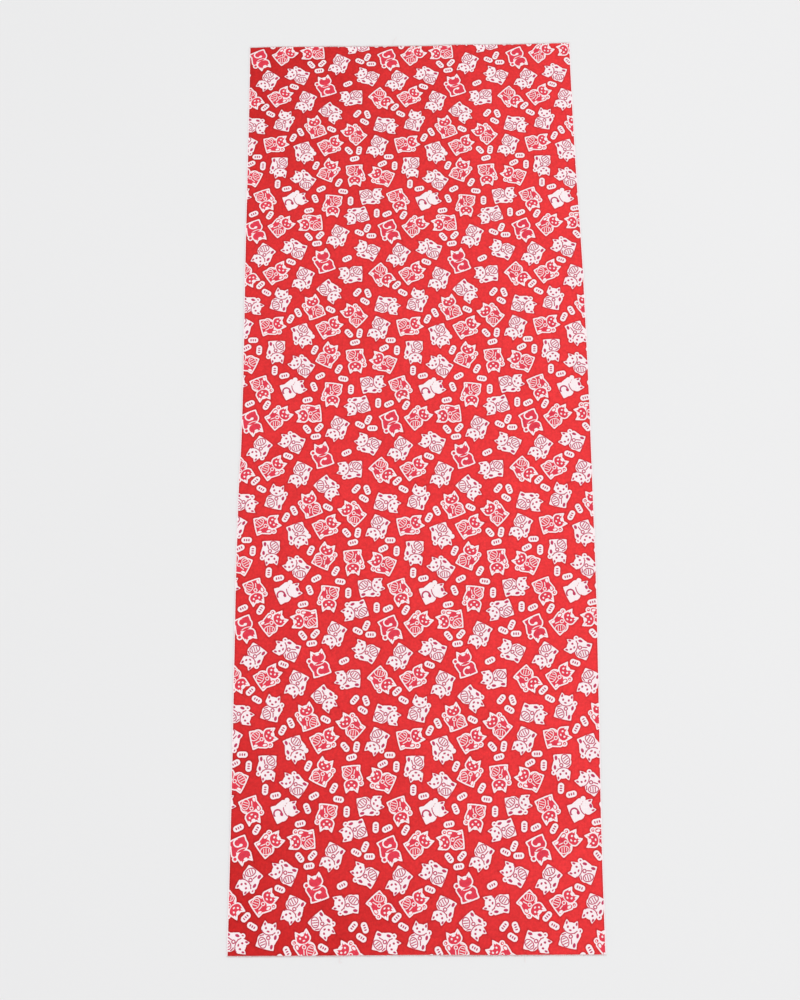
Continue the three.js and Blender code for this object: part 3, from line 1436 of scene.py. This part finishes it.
@dataclass(frozen=True)
class FrayedEnd:
    """A raw cut: short yarn ends that stand out of the cloth, and crosswise yarns coming away.

    A pair is the lowest and the highest value of a random draw, or a wave's height and length.
    """

    end: int
    body: str
    lie: ClothLie = ClothLie()
    middle_height: float = 0.19
    pitch: float = 0.5
    jitter: float = 0.15
    side_margin: float = 0.4
    root_depth: float = 0.8
    least_reach: float = 0.3
    spare_reach: float = 1.2
    lean: float = 0.35
    sag_and_rise: Point = (-0.12, 0.25)
    radius: float = 0.14
    taper: tuple[float, ...] = (0.2, 1.0, 0.9, 0.65, 0.08)
    stray_count: int = 7
    stray_steps: int = 90
    stray_starts: Point = (-160.0, 90.0)
    stray_spans: Point = (30.0, 110.0)
    stray_limit: float = 165.0
    stray_gaps: Point = (0.15, 0.5)
    quick_wave: float = 0.22
    quick_lengths: Point = (2.0, 5.0)
    slow_wave: Point = (0.2, 17.0)
    lift_wave: Point = (0.1, 3.1)
    stray_height: float = 0.2
    stray_radius: float = 0.11
    tip_radius: float = 0.02
    sides: int = 4
    seed: int = 5

    @property
    def name(self) -> str:
        """near or far."""
        return "near" if self.end < 0 else "far"

    def yarn_ends(self, draw: np.random.Generator) -> tuple[np.ndarray, np.ndarray, np.ndarray]:
        """The lengthwise yarns' ends: each bends aside with the square of its way out.

        Args:
            draw: the source of the random lengths and bends.

        Returns:
            Paths, radii and tones.
        """
        half = self.lie.half_width - self.side_margin
        x = np.arange(-half, half, self.pitch)
        count = len(x)
        x = x + draw.uniform(-self.jitter, self.jitter, count)
        reach = self.least_reach + self.spare_reach * draw.beta(1.4, 3.2, count)
        aside = draw.normal(0.0, self.lean, count) * reach
        way = np.linspace(0.0, 1.0, len(self.taper))
        out = -self.root_depth + way * (self.root_depth + reach[:, None])
        cut = np.full(count, self.end * self.lie.half_length)
        lie = self.lie.lay(x, cut, np.full(count, self.middle_height))
        shift = lie - np.stack([x, cut, np.zeros(count)], axis=-1)
        path_x = x[:, None] + aside[:, None] * way ** 2 + shift[:, :1]
        path_y = self.end * (self.lie.half_length + out) + shift[:, 1:2]
        path_z = shift[:, 2:] + way ** 2 * draw.uniform(*self.sag_and_rise, count)[:, None]
        radii = self.radius * np.array(self.taper) * np.ones((count, 1))
        return np.stack([path_x, path_y, path_z], axis=-1), radii, draw.beta(1.0, 3.0, count)

    def stray_yarns(self, draw: np.random.Generator) -> tuple[np.ndarray, np.ndarray, np.ndarray]:
        """The last crosswise yarns: each follows the cut with a slow and a quick wave.

        Args:
            draw: the source of the random places and waves.

        Returns:
            Paths, radii and tones.
        """
        count, steps = self.stray_count, self.stray_steps
        start = draw.uniform(*self.stray_starts, count)
        span = draw.uniform(*self.stray_spans, count)
        x = start[:, None] + span[:, None] * np.linspace(0.0, 1.0, steps)
        x = np.clip(x, -self.stray_limit, self.stray_limit) + np.linspace(0.0, 0.01, steps)
        gap = draw.uniform(*self.stray_gaps, count)[:, None]
        quick = self.quick_wave * np.sin(x / draw.uniform(*self.quick_lengths, count)[:, None])
        slow_size, slow_length = self.slow_wave
        lift_size, lift_length = self.lift_wave
        cut = np.full(x.shape, self.end * self.lie.half_length)
        laid = self.lie.lay(x, cut, np.full(x.shape, self.stray_height))
        laid[..., 1] += self.end * (gap + quick + slow_size * np.sin(x / slow_length))
        laid[..., 2] += lift_size * np.sin(x / lift_length)
        radii = np.full((count, steps), self.stray_radius)
        radii[:, [0, -1]] = self.tip_radius
        return laid, radii, draw.uniform(0.05, 0.4, count)

    def build(self, finish: bpy.types.Material) -> bpy.types.Object:
        """The frayed end as one piece that rides on its end panel.

        Args:
            finish: its material.

        Returns:
            The piece.
        """
        draw = np.random.default_rng(self.seed + self.end)
        bundles = [self.yarn_ends(draw), self.stray_yarns(draw)]
        piece = yarn_piece(f"yarn_ends_{self.name}", self.sides, bundles, finish)
        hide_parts(f"frayed_end_{self.name}")
        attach(piece, self.body)
        return piece


@dataclass(frozen=True)
class LooseYarn:
    """A yarn that has worked loose from a raw end and lies beside it.

    Its route is a step aside, mm, and a share of its reach, for each knot. The root is the share
    of the first knot's step that it keeps, and its share of the reach, which is inside the cloth.
    """

    name: str
    x: float
    end: int
    route: tuple[Point, ...]
    body: str
    node: str
    reach: float = 9.0
    gap: float = 0.3
    root: Point = (0.3, -0.16)
    radius: float = 0.17
    tip_radius: float = 0.02
    taper: float = 0.25
    ripple: Point = (0.1, 40.0)
    clearance: float = 0.02
    hump: float = 0.1
    root_height: float = 0.12
    tone: float = 0.06
    steps: int = 60
    sides: int = 8

    def curve(self) -> np.ndarray:
        """The route as a smooth line: knots joined by cubic arcs that keep their mean slopes.

        The first knot is the root, inside the cloth. At t of the way between two knots, the
        knots count by 1 - e and e, where e = t²(3 - 2t), and their slopes by t(1 - t)² and
        -t²(1 - t) of the distance between them.

        Returns:
            The step aside, mm, and the share of the way out, as rows.
        """
        knots = np.array(self.route, float)
        root_share, root_way = self.root
        knots = np.concatenate([[[knots[0, 0] * root_share, root_way]], knots])
        aside, out = np.diff(knots, axis=0).T
        gaps = np.concatenate([[0.0], np.cumsum(np.hypot(aside, self.reach * out))])
        at = np.linspace(0.0, gaps[-1], self.steps)
        slopes = np.gradient(knots, gaps, axis=0)
        cell = np.clip(np.searchsorted(gaps, at, side="right") - 1, 0, len(gaps) - 2)
        wide = (gaps[cell + 1] - gaps[cell])[:, None]
        t = (at - gaps[cell])[:, None] / wide
        eased = t * t * (3.0 - 2.0 * t)
        lean = t * (1.0 - t) * wide * ((1.0 - t) * slopes[cell] - t * slopes[cell + 1])
        return (1.0 - eased) * knots[cell] + eased * knots[cell + 1] + lean

    def build(self, finish: bpy.types.Material) -> bpy.types.Object:
        """A tube along the route, resting just off the floor, thinner towards its tip.

        Args:
            finish: its material.

        Returns:
            The piece.
        """
        aside, out = self.curve().T
        share = np.linspace(0.0, 1.0, self.steps)
        y = self.end * (HALF_LENGTH + self.gap + (self.reach - self.gap) * out)
        arch = self.hump * np.sin(np.pi * share) ** 2 + self.root_height * (1.0 - share) ** 6
        path = np.stack([self.x + aside, y, self.radius + self.clearance + arch], axis=-1)[None]
        ripple, turns = self.ripple
        radii = self.radius * (1.0 - self.taper * share + ripple * np.sin(share * turns))[None]
        radii[:, [0, -1]] = self.tip_radius
        bundle = (path, radii, np.array([self.tone]))
        piece = yarn_piece(self.name, self.sides, [bundle], finish)
        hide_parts(self.node)
        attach(piece, self.body)
        return piece


@dataclass(frozen=True)
class Towel:
    """The whole towel: three lengths of cloth, two frayed ends and three loose yarns."""

    near_fold: Fold = Fold("panel_1", "panel_2", -229.0, 2.3)
    middle_fold: Fold = Fold("panel_2", "panel_3", 0.0, 1.6)
    far_fold: Fold = Fold("panel_3", "panel_4", 229.0, 0.9)
    seam: float = 150.0
    raw_trim: float = 0.6

    def lengths(self) -> list[ClothLength]:
        """The three lengths of the cloth, from the near end."""
        end = HALF_LENGTH - self.raw_trim
        return [
            ClothLength("near", -end, -self.seam, self.near_fold, (1,)),
            ClothLength("middle", -self.seam, self.seam, self.middle_fold, (2, 3)),
            ClothLength("far", self.seam, end, self.far_fold, (4,)),
        ]

    @staticmethod
    def loose_yarns() -> list[LooseYarn]:
        """The three loose yarns, along the routes of the model's own."""
        return [
            LooseYarn("stray_yarn_near_left", -67.4, -1, (
                (0, 0), (0.5, 0.25), (0.2, 0.5), (-1.2, 0.72), (-1.6, 0.9), (-0.5, 1), (0.9, 0.9)),
                "panel_1", "loose_yarn_near_left"),
            LooseYarn("stray_yarn_near_right", 96.3, -1, (
                (0, 0), (0.1, 0.3), (-0.3, 0.6), (-0.2, 0.8), (0.3, 1)),
                "panel_1", "loose_yarn_near_right"),
            LooseYarn("stray_yarn_far", -19.0, 1, (
                (0, 0), (0.4, 0.3), (1.4, 0.58), (2.9, 0.85), (4.2, 1)),
                "panel_4", "loose_yarn_far", reach=8.0),
        ]

    def build(self) -> list[bpy.types.Object]:
        """Builds every piece of the towel, dressed; the frayed ends and loose yarns ride on their
        bodies.

        Returns:
            The pieces.
        """
        printed = PrintedCotton().material()
        edge = PrintedCotton(name="selvedge_cotton", yarn_pitch=0.42).material()
        yarn = CottonYarn().material()
        pieces = [piece for part in self.lengths() for piece in part.build(printed, edge)]
        pieces += [FrayedEnd(-1, "panel_1").build(yarn), FrayedEnd(1, "panel_4").build(yarn)]
        pieces += [loose.build(yarn) for loose in self.loose_yarns()]
        return pieces


# ---------------------------------------------------------------- floor, light and camera


@dataclass(frozen=True)
class Studio:
    """A plain pale floor under soft, even light, seen from above the near end."""

    floor_half: float = 6.0
    floor_drop: float = 0.0002
    sky: float = 0.92
    key_power: float = 8.8
    key_size: float = 2.4
    key_place: tuple[float, float, float] = (1.0, 0.25, 2.3)
    camera_place: tuple[float, float, float] = (-0.00363, -0.31967, 1.23577)
    lens: float = 47.563
    tilt: float = 12.885
    yaw: float = 1.952
    roll: float = -2.230

    def floor(self) -> bpy.types.Object:
        """The floor, a square just under the towel.

        Returns:
            The floor.
        """
        s, z = self.floor_half / MM, -self.floor_drop / MM
        corners = np.array([(-s, -s, z), (s, -s, z), (s, s, z), (-s, s, z)])
        piece = write_mesh("floor", corners, np.array([[0, 1, 2, 3]]))
        piece.data.materials.append(PaleFloor().material())
        return piece

    def lights(self) -> None:
        """An even sky and one large soft light to the right."""
        world = bpy.data.worlds.new("soft_sky")
        world.use_nodes = True
        back = world.node_tree.nodes["Background"]
        back.inputs[0].default_value = (1.0, 1.0, 1.0, 1.0)
        back.inputs[1].default_value = self.sky
        bpy.context.scene.world = world
        data = bpy.data.lights.new("key", "AREA")
        data.shape = "DISK"
        data.size = self.key_size
        data.energy = self.key_power
        key = bpy.data.objects.new("key", data)
        bpy.context.scene.collection.objects.link(key)
        key.location = self.key_place
        key.rotation_mode = "QUATERNION"
        key.rotation_quaternion = (-Vector(self.key_place)).to_track_quat("-Z", "Y")

    def camera(self) -> None:
        """The camera: it looks down, tilted towards the far end, then turned and rolled."""
        t, y, r = (math.radians(a) for a in (self.tilt, self.yaw, self.roll))
        turned = Matrix.Rotation(y, 3, "Z")
        forward = turned @ Vector((0.0, math.sin(t), -math.cos(t)))
        up = turned @ Vector((0.0, math.cos(t), math.sin(t)))
        right = turned @ Vector((1.0, 0.0, 0.0))
        right, up = right * math.cos(r) + up * math.sin(r), up * math.cos(r) - right * math.sin(r)
        data = bpy.data.cameras.new("camera")
        data.lens = self.lens
        data.clip_start = 0.01
        data.clip_end = 50.0
        camera = bpy.data.objects.new("camera", data)
        bpy.context.scene.collection.objects.link(camera)
        axes = Matrix((right, up, -forward)).transposed()
        camera.matrix_world = Matrix.Translation(self.camera_place) @ axes.to_4x4()
        bpy.context.scene.camera = camera

    def build(self) -> None:
        """The camera, the floor and the light, with colours shown as they are."""
        self.camera()
        self.floor()
        self.lights()
        bpy.context.scene.view_settings.view_transform = "Standard"


def main() -> None:
    """Builds the studio and the towel, and reports each piece."""
    logging.basicConfig(level=logging.INFO, format="%(name)s: %(message)s")
    Studio().build()
    for piece in Towel().build():
        log.info("%s: %d faces", piece.name, len(piece.data.polygons))


if __name__ == "__main__":
    main()
